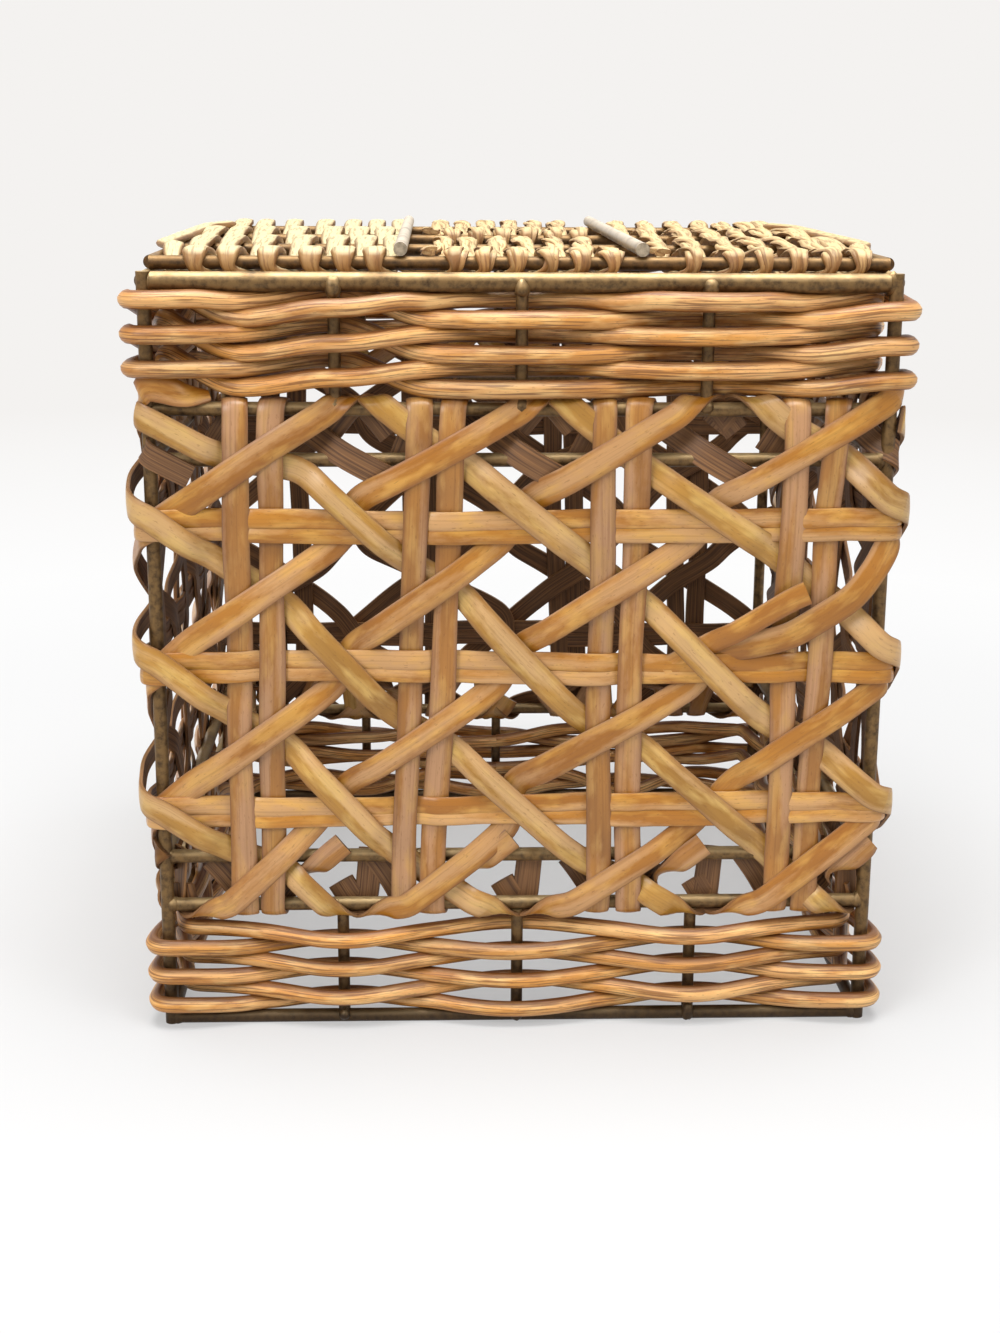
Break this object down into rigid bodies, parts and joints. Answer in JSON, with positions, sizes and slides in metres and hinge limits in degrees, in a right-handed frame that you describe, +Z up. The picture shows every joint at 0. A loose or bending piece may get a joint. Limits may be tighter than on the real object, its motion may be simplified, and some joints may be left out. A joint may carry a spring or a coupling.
{
  "type": "tissue box cover",
  "caption": "Square open-bottomed cover for a cube tissue box: a welded rod frame with open six-way cane sides, twined reed bands and a woven reed top with a square opening.",
  "frame": {"origin": "middle of the cover's footprint, on the surface that it stands on", "axes": "+Z up, the front seen in the picture faces -Y, +X to its right"},
  "size_m": [0.138, 0.138, 0.1443],
  "materials": {
    "frame_paint": "aged bronze paint on steel rod, satin, rubbed lighter on the upper sides",
    "cane": "split rattan peel, glossy outside and fibrous brown inside",
    "band_reed": "round rattan core reed with dark lengthwise grain, clear varnish",
    "top_reed": "pale rattan core reed, clear varnish"
  },
  "bodies": {
    "root": {"corner_post_front_left": "frame_paint", "corner_post_front_right": "frame_paint", "corner_post_back_left": "frame_paint", "corner_post_back_right": "frame_paint", "base_rail_front": "frame_paint", "base_rail_right": "frame_paint", "base_rail_back": "frame_paint", "base_rail_left": "frame_paint", "rim_rail_front": "frame_paint", "rim_rail_right": "frame_paint", "rim_rail_back": "frame_paint", "rim_rail_left": "frame_paint", "upper_rail_front": "frame_paint", "upper_rail_right": "frame_paint", "upper_rail_back": "frame_paint", "upper_rail_left": "frame_paint", "upper_cane_rail_front": "frame_paint", "upper_cane_rail_right": "frame_paint", "upper_cane_rail_back": "frame_paint", "upper_cane_rail_left": "frame_paint", "lower_cane_rail_front": "frame_paint", "lower_cane_rail_right": "frame_paint", "lower_cane_rail_back": "frame_paint", "lower_cane_rail_left": "frame_paint", "lower_rail_front": "frame_paint", "lower_rail_right": "frame_paint", "lower_rail_back": "frame_paint", "lower_rail_left": "frame_paint", "top_band_stakes": "frame_paint", "bottom_band_stakes": "frame_paint", "top_rod_front": "frame_paint", "top_rod_opening_front": "frame_paint", "top_rod_opening_back": "frame_paint", "top_rod_back": "frame_paint", "top_side_rods": "frame_paint", "opening_side_rods": "frame_paint", "top_band_reeds": "band_reed", "bottom_band_reeds": "band_reed", "standing_canes_front": "cane", "standing_canes_right": "cane", "standing_canes_back": "cane", "standing_canes_left": "cane", "level_canes_front": "cane", "level_canes_right": "cane", "level_canes_back": "cane", "level_canes_left": "cane", "rising_canes_front": "cane", "rising_canes_right": "cane", "rising_canes_back": "cane", "rising_canes_left": "cane", "falling_canes_front": "cane", "falling_canes_right": "cane", "falling_canes_back": "cane", "falling_canes_left": "cane", "top_weave_left": "top_reed", "top_weave_right": "top_reed", "top_weave_front": "top_reed", "top_weave_back": "top_reed"}
  },
  "joints": []
}
